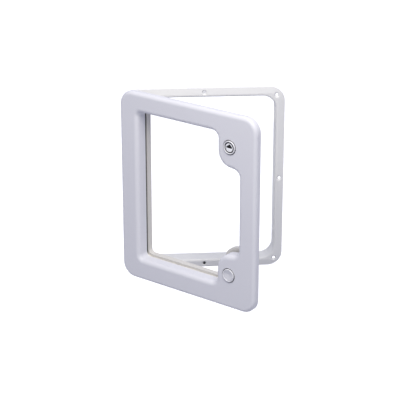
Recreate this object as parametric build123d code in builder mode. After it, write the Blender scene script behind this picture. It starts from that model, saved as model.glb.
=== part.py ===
from build123d import *
from math import cos, radians, sin, sqrt
import os

os.makedirs("parts", exist_ok=True)

# Service door for a caravan's toilet cassette locker, in millimetres.
# X runs to the right and Z up, seen from outside. Y runs into the wall, whose face is Y = 0.
# The origin is the middle of the mounting flange's back. The door stands open on its hinge.

# Pose
opening_angle = 42.0

# Door front moulding
door_width = 314.0
door_height = 374.0
door_corner_radius = 28.0
opening_corner_radius = 9.0
skin = 3.0
outer_rounding = 7.0
inner_rounding = 8.0
skirt_depth = 14.0
lip_depth = 24.0
core_inset = 27.0
core_corner_radius = 21.0
core_wall = 2.5
clamp_width = 15.0
top_rail_saving = 4.4
right_rail_saving = 4.0
rib_thickness = 1.8
rib_setback = 3.5
overcut = 1.0

# Ears that carry the lock above and the push button below
lock_inset = 58.0
upper_case_gap = 6.5
lower_case_gap = 11.5
ear_reach = 28.0
upper_ear_drop = 36.6
lower_ear_rise = 35.0
ear_slant = 6.0
ear_corner_radius = 30.0
ear_top_radius = 13.0
ear_root_radius = 14.0
rear_ear_growth = 5.5
rear_ear_corner_radius = 23.0

# Panel slot and rear clamping frame
panel_slot = 4.8
landing_width = 6.5
landing_thickness = 2.5
rear_depth = 12.5
rear_wall = 2.5
rear_edge_rounding = 1.5
rear_sill_rise = 3.0
gasket_setback = 1.5
gasket_width = 1.3

# Weather seal behind the door, and the gap to the flange when the door is closed
door_gap = 0.5
seal_width = 9.0
seal_clearance = 0.3
seal_edge_rounding = 1.2

# Clamping screws of the rear frame
corner_screw_inset = 62.0
side_screw_inset = 112.0
boss_radius = 3.75
screw_radius = 1.25
pilot_radius = 1.3
clearance_radius = 1.8
screw_head_radius = 2.9
screw_head_height = 2.0
head_recess_radius = 3.15
head_recess_depth = 2.4
screw_grip = 12.0

# Mounting frame
flange_overlap = 5.0
collar_gap = 5.0
flange_thickness = 5.0
flange_land = 1.5
flange_slope_drop = 3.2
flange_rounding = 1.2
opening_edge_rounding = 3.5
frame_corner_radius = 28.0
collar_depth = 34.0
collar_wall = 3.0
collar_edge_rounding = 1.0
sealant_groove_width = 2.4
sealant_groove_depth = 1.0
sealant_groove_inset = 1.6
mount_hole_radius = 2.8
mount_sink_radius = 5.5
mount_sink_angle = 90
mount_sink_drop = 0.8
corner_hole_inset = 15.5
middle_hole_offset = 0.5

# Strikes in the collar for the latch bolts
keep_rise = 2.0
keep_length = 29.0
keep_depth = 8.4
keep_lead = 3.0
strike_height = 18.0
strike_depth = 8.0

# Hinges
knuckle_inset = 88.5
knuckle_length = 76.0
knuckle_radius = 3.7
pin_radius = 1.5
running_clearance = 0.05
lug_foot = 4.0
lug_edge_inset = 1.0
pin_chamfer = 0.4
slot_end_gap = 1.0
slot_skin = 2.0
slot_reach = 5.0
pin_boss_length = 10.0
pin_boss_clearance = 0.5

# Push lock and push button
bezel_radius = 13.4
bezel_rise = 2.0
bezel_rounding = 1.4
bezel_inner_rounding = 0.9
bezel_seat = 1.5
bezel_gap = 1.1
bezel_tube_radius = 12.0
bezel_fit = 0.1
button_radius = 10.0
button_edge_rounding = 0.8
barrel_step_radius = 9.0
barrel_step_depth = 2.0
button_proud = 1.0
button_clearance = 0.15
button_travel = 6.0
clip_thickness = 1.0
clip_gap = 0.1
clip_room = 2.5
clip_seat_radius = 9.0
clip_outer_radius = 11.8
plug_radius = 6.5
plug_setback = 4.2
plug_recess = 0.4
keyway_width = 3.6
keyway_length = 10.0
keyway_rise = 1.6
keyway_depth = 7.0
cam_thickness = 1.8
cam_hub_radius = 4.5
cam_reach = 8.0
cam_stub_radius = 2.5
cam_pocket_radius = 8.6
cam_pocket_depth = 2.4
dish_radius = 8.6
dish_depth = 1.4

# Latch: a wedge behind each button draws a sprung bolt
stem_width = 11.0
wedge_left = 7.0
wedge_right = 5.0
bolt_setback = 2.0
bolt_thickness = 7.0
bolt_width = 16.0
bolt_tail = 5.0
bolt_engagement = 4.0
bolt_nose_flat = 3.0
bolt_nose_bevel = 5.0
wedge_clearance = 0.4
bolt_clearance = 0.3
bolt_window_gap = 1.0
case_wall = 2.0
case_floor = 3.7
case_side = 12.5
case_core_gap = 0.7
case_landing_gap = 2.8
cover_thickness = 2.0
cover_gap = 0.5
button_stop_gap = 1.0
cover_window_clearance = 1.0
case_ear_radius = 4.0
case_ear_thickness = 3.5
left_screw_margin = 7.7
right_screw_margin = 8.8
case_screw_rise = 16.0
case_boss_radius = 3.5
spring_radius = 2.6
spring_wire = 0.45
spring_turns = 5
spring_end_gap = 0.5

# Places that follow from the sizes
core_half_width = door_width / 2 - core_inset
rail_width = core_inset + clamp_width
top_rail_width = rail_width - top_rail_saving
right_rail_width = rail_width - right_rail_saving
rib_depth = skirt_depth - rib_setback
rear_back = lip_depth + panel_slot + rear_depth
screw_inset = core_inset + boss_radius
screw_spacing_x = door_width / 2 - corner_screw_inset
screw_spacing_z = door_height / 2 - side_screw_inset

frame_width = door_width - 2 * flange_overlap
frame_height = door_height - 2 * flange_overlap
flange_width = core_inset - flange_overlap - collar_gap
flange_slope_width = flange_width - opening_edge_rounding - flange_land
frame_opening_width = frame_width - 2 * flange_width
frame_opening_height = frame_height - 2 * flange_width
frame_opening_radius = core_corner_radius + collar_gap
middle_hole_inset = flange_width / 2 - middle_hole_offset

hinge_x = outer_rounding - door_width / 2
hinge_y = outer_rounding - flange_thickness - door_gap - skirt_depth
knuckle_centre = door_height / 2 - knuckle_inset
closed_face = outer_rounding - hinge_y

lock_x = door_width / 2 - lock_inset
case_screw_limit = door_height / 2 - screw_inset - boss_radius - case_ear_radius
lock_height = case_screw_limit - upper_case_gap - case_screw_rise
button_height = case_screw_limit - lower_case_gap - case_screw_rise
upper_ear_end = lock_height - upper_ear_drop
lower_ear_end = button_height - lower_ear_rise

bolt_front = lip_depth + bolt_setback
case_back = bolt_front + bolt_thickness + bolt_clearance + case_floor
cover_back = bolt_front - cover_gap
cover_front = cover_back - cover_thickness
case_left = ear_reach - landing_width - case_landing_gap
case_right = lock_inset - core_inset - core_wall - case_core_gap
case_screw_left = case_left - left_screw_margin
case_screw_right = case_right - right_screw_margin
button_depth = cover_front - button_travel - button_stop_gap
bezel_tube_depth = button_depth - clip_room
plug_length = button_depth - plug_setback
wedge_start = bolt_front - button_travel
bolt_nose = frame_opening_width / 2 - keep_rise + bolt_engagement - lock_x
dish_sphere_radius = (dish_radius ** 2 + dish_depth ** 2) / (2 * dish_depth)

along = (cos(radians(opening_angle)), -sin(radians(opening_angle)), 0)
outward = (-sin(radians(opening_angle)), -cos(radians(opening_angle)), 0)
hinge_line = Plane(origin=(hinge_x, hinge_y, 0), x_dir=along, z_dir=outward)
door_face = Plane(
    origin=hinge_line.from_local_coords((door_width / 2 - outer_rounding, 0, outer_rounding)),
    x_dir=along,
    z_dir=outward,
)
wall_face = Plane.XZ
front_axis = Axis(door_face.origin, outward)

screw_places = [
    (x, z)
    for z in (door_height / 2 - screw_inset, screw_inset - door_height / 2)
    for x in (-screw_spacing_x, 0, screw_spacing_x)
] + [
    (x, z)
    for x in (door_width / 2 - screw_inset, screw_inset - door_width / 2)
    for z in (-screw_spacing_z, 0, screw_spacing_z)
]


def behind(depth):
    """Sketch plane parallel to the door's face, this far behind it."""
    return door_face.offset(-depth)


def level(height):
    """Horizontal sketch plane of the door: x runs along the door, y is the depth behind its face."""
    return Plane(
        origin=door_face.from_local_coords((0, height, 0)), x_dir=along, z_dir=(0, 0, 1)
    )


def lock_plane(height, depth=0.0):
    """Sketch plane centred on a lock's axis, this far behind the door's face."""
    return Plane(
        origin=door_face.from_local_coords((lock_x, height, -depth)), x_dir=along, z_dir=outward
    )


def lock_level(height):
    """Horizontal sketch plane through a lock's axis, with the axis at x = 0."""
    return Plane(
        origin=door_face.from_local_coords((lock_x, height, 0)), x_dir=along, z_dir=(0, 0, 1)
    )


def door_outline(inset=0.0, mode=Mode.ADD):
    """Rounded outline of the door, drawn this far inside its edge."""
    RectangleRounded(
        door_width - 2 * inset, door_height - 2 * inset, door_corner_radius - inset, mode=mode
    )


def core_outline(inset=0.0, mode=Mode.ADD):
    """Rounded outline of the part of the door that goes into the mounting frame."""
    RectangleRounded(
        door_width - 2 * (core_inset + inset),
        door_height - 2 * (core_inset + inset),
        core_corner_radius - inset,
        mode=mode,
    )


def panel_opening(grow=0.0, mode=Mode.SUBTRACT, rear=False):
    """The opening for the wall panel, made larger by grow. The rear's ears and sill stand further in."""
    left = rail_width - door_width / 2 - grow
    right = door_width / 2 - right_rail_width + grow
    top = door_height / 2 - top_rail_width + grow
    bottom = rail_width - door_height / 2 - grow
    ear_side = lock_x - ear_reach + grow
    slope = ear_slant / (right - ear_side)
    upper_end = upper_ear_end + grow * (sqrt(1 + slope ** 2) - slope)
    lower_end = lower_ear_end + grow * (sqrt(1 + slope ** 2) - slope)
    ear_corner = ear_corner_radius - grow
    if rear:
        upper_end = upper_end - rear_ear_growth
        lower_end = lower_end - rear_ear_growth
        ear_corner = rear_ear_corner_radius - grow
        bottom = bottom + rear_sill_rise
    with BuildLine(Plane.XY) as outline:
        FilletPolyline(
            (left, top),
            (ear_side, top),
            (ear_side, upper_end),
            (right, upper_end - ear_slant),
            (right, ear_slant - lower_end),
            (ear_side, -lower_end),
            (ear_side, bottom),
            (left, bottom),
            radius=(
                opening_corner_radius + grow,
                ear_top_radius + grow,
                ear_corner,
                ear_root_radius + grow,
                ear_root_radius + grow,
                ear_corner,
                ear_top_radius + grow,
                opening_corner_radius + grow,
            ),
            close=True,
        )
    make_face(outline.edges(), mode=mode)


def frame_outline(inset=0.0, mode=Mode.ADD):
    """Outer outline of the mounting flange."""
    RectangleRounded(
        frame_width - 2 * inset, frame_height - 2 * inset, frame_corner_radius - inset, mode=mode
    )


def frame_opening(grow=0.0, mode=Mode.SUBTRACT):
    """The opening through the mounting frame, made larger all round by grow."""
    RectangleRounded(
        frame_opening_width + 2 * grow,
        frame_opening_height + 2 * grow,
        frame_opening_radius + grow,
        mode=mode,
    )


def save(builder, name):
    """Label a finished piece and write it out."""
    builder.part.label = name
    export_step(builder.part, f"parts/{name}.step")


# Mounting frame: flange, collar through the wall, strikes, screw holes and hinge knuckles
with BuildPart() as mounting_frame:
    with BuildSketch(wall_face):
        frame_outline()
        frame_opening()
    extrude(amount=flange_thickness)
    front = mounting_frame.faces().sort_by(Axis.Y)[0]
    fillet(front.inner_wires()[0].edges(), opening_edge_rounding)
    front = mounting_frame.faces().sort_by(Axis.Y)[0]
    chamfer(
        front.outer_wire().edges(), length=flange_slope_width, length2=flange_slope_drop,
        reference=front,
    )
    rim = mounting_frame.edges().filter_by_position(
        Axis.Y, -flange_thickness, flange_slope_drop - flange_thickness
    )
    rim = rim.group_by(Axis.Y)[-1]
    fillet(rim, flange_rounding)
    with BuildSketch(wall_face):
        frame_opening(collar_wall, mode=Mode.ADD)
        frame_opening()
    extrude(amount=flange_thickness - collar_depth)
    back = mounting_frame.faces().sort_by(Axis.Y)[-1]
    fillet(back.edges(), collar_edge_rounding)
    with BuildSketch(wall_face):
        frame_outline(sealant_groove_inset)
        frame_outline(sealant_groove_inset + sealant_groove_width, mode=Mode.SUBTRACT)
    extrude(amount=sealant_groove_depth, mode=Mode.SUBTRACT)

    keep_face = frame_opening_width / 2
    strike_front = bolt_front - closed_face - cover_gap
    for height in (lock_height, -button_height):
        with BuildSketch(Plane.XY.offset(height)):
            Polygon(
                (keep_face + collar_wall / 2, strike_front - keep_depth),
                (keep_face, strike_front - keep_depth),
                (keep_face - keep_rise, strike_front - keep_depth + keep_lead),
                (keep_face - keep_rise, strike_front),
                (keep_face + collar_wall / 2, strike_front),
                align=None,
            )
        extrude(amount=keep_length / 2, both=True)
        with BuildSketch(Plane.XY.offset(height)):
            with Locations((keep_face + collar_wall / 2, strike_front + strike_depth / 2)):
                Rectangle(2 * collar_wall, strike_depth)
        extrude(amount=strike_height / 2, both=True, mode=Mode.SUBTRACT)

    corner_x = frame_width / 2 - corner_hole_inset
    corner_z = frame_height / 2 - corner_hole_inset
    middle_x = frame_width / 2 - middle_hole_inset
    middle_z = frame_height / 2 - middle_hole_inset
    with Locations(wall_face.offset(flange_thickness - mount_sink_drop)):
        with Locations(
            (corner_x, corner_z), (-corner_x, corner_z), (corner_x, -corner_z),
            (-corner_x, -corner_z), (middle_x, 0), (-middle_x, 0), (0, middle_z), (0, -middle_z),
        ):
            CounterSinkHole(
                mount_hole_radius, mount_sink_radius, flange_thickness, mount_sink_angle
            )

    for height in (knuckle_centre, -knuckle_centre):
        with BuildSketch(Plane.XY.offset(height)):
            with Locations((hinge_x, hinge_y)):
                Circle(knuckle_radius)
            Polygon(
                (hinge_x - knuckle_radius, hinge_y),
                (hinge_x + knuckle_radius, hinge_y),
                (hinge_x + knuckle_radius, lug_foot - flange_thickness),
                (lug_edge_inset - frame_width / 2, lug_foot - flange_thickness),
                align=None,
            )
        extrude(amount=knuckle_length / 2, both=True)
        with BuildSketch(Plane.XY.offset(height)):
            with Locations((hinge_x, hinge_y)):
                Circle(pin_radius + running_clearance)
        extrude(amount=knuckle_length / 2, both=True, mode=Mode.SUBTRACT)
save(mounting_frame, "mounting_frame")

# Hinge pins, one through each knuckle into the door on both sides of it
pin_length = knuckle_length + 2 * (slot_end_gap + pin_boss_length)
for height, name in ((knuckle_centre, "hinge_pin_upper"), (-knuckle_centre, "hinge_pin_lower")):
    with BuildPart() as hinge_pin:
        with BuildSketch(Plane.XY.offset(height)):
            with Locations((hinge_x, hinge_y)):
                Circle(pin_radius)
        extrude(amount=pin_length / 2, both=True)
        chamfer(hinge_pin.edges().filter_by(GeomType.CIRCLE), pin_chamfer)
    save(hinge_pin, name)

# The hollow inside the front moulding, which leaves a wall of even thickness
with BuildPart() as front_hollow:
    with BuildSketch(behind(skin)):
        door_outline(skin)
        panel_opening(skin)
    extrude(amount=-lip_depth)
    front = front_hollow.faces().sort_by(front_axis)[-1]
    fillet(front.outer_wire().edges(), outer_rounding - skin)
    front = front_hollow.faces().sort_by(front_axis)[-1]
    fillet(front.inner_wires()[0].edges(), inner_rounding - skin)

# Outer shape of the front moulding: a domed ring with two ears
with BuildPart() as front_dome:
    with BuildSketch(door_face):
        door_outline()
        panel_opening()
    extrude(amount=-lip_depth)
    front = front_dome.faces().sort_by(front_axis)[-1]
    fillet(front.outer_wire().edges(), outer_rounding)
    front = front_dome.faces().sort_by(front_axis)[-1]
    fillet(front.inner_wires()[0].edges(), inner_rounding)

# Walls, ribs and bosses inside the front moulding
with BuildPart() as front_ribs:
    # Core wall that seats on the rear frame, and the landing that the panel is clamped against
    with BuildSketch(behind(skin / 2)):
        core_outline()
        core_outline(core_wall, mode=Mode.SUBTRACT)
    extrude(amount=skin / 2 - lip_depth)
    with BuildSketch(behind(lip_depth)):
        panel_opening(landing_width, mode=Mode.ADD)
        panel_opening()
    extrude(amount=landing_thickness)

    # Ribs across the outer channel, clear of the hinges
    channel_middle = (skin + core_inset) / 2
    channel_width = core_inset - skin + core_wall / 2
    with BuildSketch(behind(skin / 2)):
        with GridLocations(door_width / 8, door_height - 2 * channel_middle, 6, 2):
            Rectangle(rib_thickness, channel_width)
        with Locations((door_width / 2 - channel_middle, 0)):
            with GridLocations(0, door_height / 10, 1, 7):
                Rectangle(channel_width, rib_thickness)
        with Locations((channel_middle - door_width / 2, 0)):
            with GridLocations(0, knuckle_centre / 3, 1, 3):
                Rectangle(channel_width, rib_thickness)
    extrude(amount=skin / 2 - rib_depth)

    # Ribs between the core wall and the inner lip
    inner_middle = (core_inset + rail_width) / 2
    inner_width = rail_width - core_inset - skin
    with BuildSketch(behind(skin / 2)):
        with GridLocations(screw_spacing_x, door_height - 2 * inner_middle, 2, 2):
            Rectangle(rib_thickness, inner_width)
        with GridLocations(door_width - 2 * inner_middle, screw_spacing_z, 2, 2):
            Rectangle(inner_width, rib_thickness)
    extrude(amount=skin / 2 + landing_thickness - lip_depth)

    # Bosses for the clamping screws and for the latch cases
    with BuildSketch(behind(skin / 2)):
        with Locations(*screw_places):
            Circle(boss_radius)
    extrude(amount=skin / 2 - lip_depth)
    with BuildSketch(behind(lip_depth)):
        with Locations(*screw_places):
            Circle(pilot_radius)
    extrude(amount=lip_depth - screw_grip + overcut, mode=Mode.SUBTRACT)
    case_screws = [
        (lock_x + x, side * (height + rise))
        for side, height in ((1, lock_height), (-1, button_height))
        for x, rise in ((-case_screw_left, -case_screw_rise), (case_screw_right, case_screw_rise))
    ]
    with BuildSketch(behind(skin / 2)):
        with Locations(*case_screws):
            Circle(case_boss_radius)
    extrude(amount=skin / 2 - cover_front)
    with BuildSketch(behind(cover_front)):
        with Locations(*case_screws):
            Circle(pilot_radius)
    extrude(amount=cover_front - screw_grip + overcut, mode=Mode.SUBTRACT)
    add(front_dome.part, mode=Mode.INTERSECT)

# Door front moulding: the dome hollowed out, with its ribs, open at the back
with BuildPart() as door_front_frame:
    add(front_dome.part)
    with BuildSketch(behind(skirt_depth)):
        door_outline(-overcut)
        core_outline(mode=Mode.SUBTRACT)
    extrude(amount=-lip_depth, mode=Mode.SUBTRACT)
    add(front_hollow.part, mode=Mode.SUBTRACT)
    add(front_ribs.part)

    # Holes for the lock and the button
    with Locations(door_face):
        with Locations((lock_x, lock_height), (lock_x, -button_height)):
            Hole(bezel_tube_radius + bezel_fit, skirt_depth)
            Hole(bezel_radius + bezel_gap, bezel_seat)

    # Hinge edge: rounded about the pins, and cut away where the knuckles reach in
    edge = -door_width / 2
    with BuildSketch(level(0)):
        with Locations((edge, outer_rounding)):
            Rectangle(
                outer_rounding, lip_depth, align=(Align.MIN, Align.MIN)
            )
        with Locations((edge + outer_rounding, outer_rounding)):
            Circle(outer_rounding, mode=Mode.SUBTRACT)
    extrude(amount=door_height / 2, both=True, mode=Mode.SUBTRACT)
    slot_half = knuckle_length / 2 + slot_end_gap
    for height in (knuckle_centre, -knuckle_centre):
        with BuildSketch(level(height)):
            with Locations((edge - overcut, slot_skin)):
                Rectangle(slot_reach + overcut, skirt_depth, align=(Align.MIN, Align.MIN))
        extrude(amount=slot_half, both=True, mode=Mode.SUBTRACT)
        for end in (-1, 1):
            with BuildSketch(level(height + end * slot_half)):
                with Locations((edge + outer_rounding, outer_rounding)):
                    Circle(outer_rounding - pin_boss_clearance)
            extrude(amount=end * pin_boss_length)
        with BuildSketch(level(height)):
            with Locations((edge + outer_rounding, outer_rounding)):
                Circle(pin_radius + running_clearance)
        extrude(amount=pin_length / 2, both=True, mode=Mode.SUBTRACT)
save(door_front_frame, "door_front_frame")

# Rear frame: clamps the panel and carries the door into the collar
with BuildPart() as door_rear_frame:
    with BuildSketch(behind(lip_depth)):
        core_outline()
        panel_opening(rear=True)
    extrude(amount=lip_depth - rear_back)
    back = door_rear_frame.faces().sort_by(front_axis)[0]
    fillet(back.edges(), rear_edge_rounding)
    with BuildSketch(behind(lip_depth)):
        core_outline(rear_wall)
        panel_opening(rear_wall, rear=True)
    extrude(amount=lip_depth + rear_wall - rear_back, mode=Mode.SUBTRACT)
    with BuildSketch(behind(lip_depth + panel_slot)):
        panel_opening(landing_width, mode=Mode.ADD)
        panel_opening(rear=True)
    extrude(amount=-landing_thickness)
    with BuildSketch(behind(lip_depth)):
        panel_opening(landing_width, mode=Mode.ADD)
        panel_opening(-overcut, rear=True)
    extrude(amount=-panel_slot, mode=Mode.SUBTRACT)
    with BuildSketch(behind(lip_depth)):
        with Locations(*screw_places):
            Circle(boss_radius)
    extrude(amount=lip_depth + rear_wall - rear_back)
    with BuildSketch(behind(lip_depth)):
        with Locations(*screw_places):
            Circle(clearance_radius)
    extrude(amount=lip_depth - rear_back, mode=Mode.SUBTRACT)
    with BuildSketch(behind(rear_back)):
        with Locations(*screw_places):
            Circle(head_recess_radius)
    extrude(amount=head_recess_depth, mode=Mode.SUBTRACT)
    for height in (lock_height, -button_height):
        with BuildSketch(level(height)):
            with Locations((core_half_width, bolt_front + bolt_thickness / 2)):
                Rectangle(4 * rear_wall, bolt_thickness + 2 * cover_gap)
        extrude(amount=bolt_width / 2 + cover_gap, both=True, mode=Mode.SUBTRACT)
save(door_rear_frame, "door_rear_frame")

# Gasket in the bottom of the panel slot
with BuildPart() as panel_gasket:
    with BuildSketch(behind(lip_depth)):
        panel_opening(gasket_setback + gasket_width, mode=Mode.ADD)
        panel_opening(gasket_setback)
    extrude(amount=-panel_slot)
save(panel_gasket, "panel_gasket")

# Weather seal round the core wall, which meets the flange when the door is closed
with BuildPart() as door_seal:
    with BuildSketch(behind(rib_depth)):
        core_outline(-seal_width)
        core_outline(mode=Mode.SUBTRACT)
    extrude(amount=rib_depth - skirt_depth - door_gap + seal_clearance)
    back = door_seal.faces().sort_by(front_axis)[0]
    fillet(back.outer_wire().edges(), seal_edge_rounding)
save(door_seal, "door_seal")

# Clamping screws, put in from the back of the rear frame
with BuildPart() as rear_screws:
    with BuildSketch(behind(rear_back - head_recess_depth)):
        with Locations(*screw_places):
            Circle(screw_head_radius)
    extrude(amount=-screw_head_height)
    with BuildSketch(behind(rear_back - head_recess_depth)):
        with Locations(*screw_places):
            Circle(screw_radius)
    extrude(amount=rear_back - head_recess_depth - screw_grip)
save(rear_screws, "rear_screws")


def make_bezel(height, name):
    """Ring round a lock or button, with the tube that guides it."""
    with BuildPart() as bezel:
        with BuildSketch(lock_plane(height, bezel_seat)):
            Circle(bezel_radius)
        extrude(amount=bezel_seat + bezel_rise)
        front = bezel.faces().sort_by(front_axis)[-1]
        fillet(front.edges(), bezel_rounding)
        with BuildSketch(lock_plane(height, bezel_seat)):
            Circle(bezel_tube_radius)
        extrude(amount=bezel_seat - bezel_tube_depth)
        with Locations(lock_plane(height, -bezel_rise)):
            Hole(button_radius + button_clearance, bezel_rise + bezel_tube_depth)
        front = bezel.faces().sort_by(front_axis)[-1]
        fillet(front.inner_wires()[0].edges(), bezel_inner_rounding)
    save(bezel, name)


def add_wedge(height):
    """Stem behind a button, ending in the wedge that draws the bolt."""
    wedge_tip = wedge_start + button_travel + cover_gap
    slope_end = wedge_tip - wedge_start - wedge_right
    with BuildSketch(lock_level(height)) as wedge:
        Polygon(
            (-wedge_left, button_depth - overcut),
            (wedge_right, button_depth - overcut),
            (wedge_right, wedge_tip),
            (slope_end, wedge_tip),
            (-wedge_right, wedge_start),
            (-wedge_left, wedge_start),
            align=None,
        )
    extrude(wedge.sketch, amount=stem_width / 2, both=True)


def cut_clip_groove(height):
    """Groove that the retaining clip sits in."""
    with BuildSketch(lock_plane(height, bezel_tube_depth + clip_gap)) as groove:
        Circle(button_radius + overcut)
        Circle(clip_seat_radius, mode=Mode.SUBTRACT)
    extrude(groove.sketch, amount=-clip_thickness - 2 * clip_gap, mode=Mode.SUBTRACT)


def make_clip(height, name):
    """Clip that keeps a button from coming out of its bezel."""
    with BuildPart() as clip:
        with BuildSketch(lock_plane(height, bezel_tube_depth + 2 * clip_gap)):
            Circle(clip_outer_radius)
            Circle(clip_seat_radius + running_clearance, mode=Mode.SUBTRACT)
        extrude(amount=-clip_thickness)
    save(clip, name)


# Lock barrel: the upper button, bored for the key plug
with BuildPart() as lock_barrel:
    with BuildSketch(lock_plane(lock_height, -button_proud)):
        Circle(button_radius)
    extrude(amount=-button_proud - button_depth)
    with BuildSketch(lock_plane(lock_height, -button_proud)):
        Circle(button_radius + overcut)
        Circle(barrel_step_radius, mode=Mode.SUBTRACT)
    extrude(amount=-barrel_step_depth, mode=Mode.SUBTRACT)
    front = lock_barrel.faces().sort_by(front_axis)[-1]
    fillet(front.edges(), bezel_inner_rounding)
    add_wedge(lock_height)
    cut_clip_groove(lock_height)
    with BuildSketch(lock_plane(lock_height, -button_proud)):
        Circle(plug_radius + running_clearance)
    extrude(amount=-plug_length - cam_pocket_depth + cam_thickness, mode=Mode.SUBTRACT)
    with BuildSketch(lock_plane(lock_height, plug_length - button_proud - cam_thickness)):
        Circle(cam_pocket_radius)
    extrude(amount=-cam_pocket_depth, mode=Mode.SUBTRACT)
save(lock_barrel, "lock_barrel")

# Key plug with its keyway, and the cam on its stub
with BuildPart() as key_plug:
    with BuildSketch(lock_plane(lock_height, plug_recess - button_proud)):
        Circle(plug_radius)
    extrude(amount=plug_recess + cam_thickness + clip_gap - plug_length)
    with BuildSketch(lock_plane(lock_height, plug_recess - button_proud)):
        Circle(cam_stub_radius)
    extrude(amount=plug_recess - plug_length)
    with BuildSketch(lock_plane(lock_height, -button_proud)):
        with Locations((0, keyway_rise)):
            SlotOverall(keyway_length, keyway_width)
    extrude(amount=-keyway_depth, mode=Mode.SUBTRACT)
save(key_plug, "key_plug")

with BuildPart() as lock_cam:
    with BuildSketch(lock_plane(lock_height, plug_length - button_proud - cam_thickness + clip_gap)):
        Circle(cam_hub_radius)
        with Locations((0, cam_reach / 2)):
            SlotOverall(cam_reach, cam_hub_radius, rotation=90)
        Circle(cam_stub_radius + running_clearance, mode=Mode.SUBTRACT)
    extrude(amount=clip_gap - cam_thickness)
save(lock_cam, "lock_cam")

# Push button: a plain cap with a dished face
with BuildPart() as push_button:
    with BuildSketch(lock_plane(-button_height, -button_proud)):
        Circle(button_radius)
    extrude(amount=-button_proud - button_depth)
    front = push_button.faces().sort_by(front_axis)[-1]
    fillet(front.edges(), button_edge_rounding)
    with Locations(lock_plane(-button_height, dish_depth - button_proud - dish_sphere_radius)):
        Sphere(dish_sphere_radius, mode=Mode.SUBTRACT)
    add_wedge(-button_height)
    cut_clip_groove(-button_height)
save(push_button, "push_button")


def make_bolt(height, name):
    """Latch bolt: a bar with a bevelled nose and a sloped window for the wedge."""
    bolt_back = bolt_front + bolt_thickness
    slope = button_travel - wedge_right - wedge_clearance
    window_end = wedge_right + button_travel + bolt_window_gap
    with BuildPart() as bolt:
        with BuildSketch(lock_level(height)):
            Polygon(
                (-bolt_tail, bolt_front),
                (bolt_nose, bolt_front),
                (bolt_nose, bolt_front + bolt_nose_flat),
                (bolt_nose - bolt_nose_bevel, bolt_back),
                (-bolt_tail, bolt_back),
                align=None,
            )
        extrude(amount=bolt_width / 2, both=True)
        with BuildSketch(lock_level(height)):
            Polygon(
                (slope - overcut, bolt_front - overcut),
                (window_end, bolt_front - overcut),
                (window_end, bolt_back + overcut),
                (slope + bolt_thickness + overcut, bolt_back + overcut),
                align=None,
            )
        extrude(amount=stem_width / 2 + bolt_clearance, both=True, mode=Mode.SUBTRACT)
    save(bolt, name)


def case_outline(side, mode=Mode.ADD):
    """Outline of a latch case and its cover, with an ear for each screw."""
    with Locations(((case_right - case_left) / 2, 0)):
        Rectangle(case_left + case_right, 2 * case_side, mode=mode)
    for x, rise in ((-case_screw_left, -case_screw_rise), (case_screw_right, case_screw_rise)):
        with Locations((x, side * rise)):
            Circle(case_ear_radius, mode=mode)


def make_case(height, side, name):
    """Tray that the bolt and its spring lie in."""
    with BuildPart() as case:
        with BuildSketch(lock_plane(height, cover_back)):
            case_outline(side)
        extrude(amount=-case_ear_thickness)
        with BuildSketch(lock_plane(height, cover_back)):
            with Locations(((case_right - case_left) / 2, 0)):
                Rectangle(case_left + case_right, 2 * case_side)
        extrude(amount=cover_back - case_back)
        with BuildSketch(lock_plane(height, cover_back)):
            with Locations((case_wall - case_left, 0)):
                Rectangle(
                    case_left + case_right, bolt_width + 2 * bolt_clearance,
                    align=(Align.MIN, Align.CENTER),
                )
        extrude(amount=cover_back + case_floor - case_back, mode=Mode.SUBTRACT)
        cut_case_holes(height, side, cover_back)
    save(case, name)


def cut_case_holes(height, side, depth):
    """Clearance holes through a case or its cover."""
    with BuildSketch(lock_plane(height, depth)) as holes:
        for x, rise in ((-case_screw_left, -case_screw_rise), (case_screw_right, case_screw_rise)):
            with Locations((x, side * rise)):
                Circle(clearance_radius)
    extrude(holes.sketch, amount=-case_back, mode=Mode.SUBTRACT)


def make_cover(height, side, name):
    """Plate that closes a latch case, with a window for the wedge."""
    with BuildPart() as cover:
        with BuildSketch(lock_plane(height, cover_front)):
            case_outline(side)
            with Locations(((wedge_right - wedge_left) / 2, 0)):
                Rectangle(
                    wedge_left + wedge_right + 2 * cover_window_clearance,
                    stem_width + 2 * cover_window_clearance,
                    mode=Mode.SUBTRACT,
                )
        extrude(amount=-cover_thickness)
        cut_case_holes(height, side, cover_front)
    save(cover, name)


def make_spring(height, name):
    """Coil spring between a case's end wall and the bolt's tail."""
    start = case_wall - case_left + spring_end_gap
    length = -bolt_tail - spring_end_gap - start
    middle = bolt_front + bolt_thickness / 2
    with BuildPart() as spring:
        with BuildLine(lock_level(height)) as coil:
            Helix(
                length / spring_turns, length, spring_radius,
                center=(start, middle, 0), direction=along,
            )
        with BuildSketch(Plane(origin=coil.line @ 0, z_dir=coil.line % 0)):
            RegularPolygon(spring_wire, 6)
        sweep(is_frenet=True)
    save(spring, name)


make_bezel(lock_height, "lock_bezel")
make_bezel(-button_height, "button_bezel")
make_clip(lock_height, "barrel_clip")
make_clip(-button_height, "button_clip")
make_bolt(lock_height, "upper_latch_bolt")
make_bolt(-button_height, "lower_latch_bolt")
make_case(lock_height, 1, "upper_latch_case")
make_case(-button_height, -1, "lower_latch_case")
make_cover(lock_height, 1, "upper_latch_cover")
make_cover(-button_height, -1, "lower_latch_cover")
make_spring(lock_height, "upper_latch_spring")
make_spring(-button_height, "lower_latch_spring")

# Screws that hold the latch cases, put in from behind
with BuildPart() as case_screw_set:
    head_seat = cover_back + case_ear_thickness
    with BuildSketch(behind(head_seat)):
        with Locations(*case_screws):
            Circle(screw_head_radius)
    extrude(amount=-screw_head_height)
    with BuildSketch(behind(head_seat)):
        with Locations(*case_screws):
            Circle(screw_radius)
    extrude(amount=head_seat - screw_grip)
save(case_screw_set, "case_screws")
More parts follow.
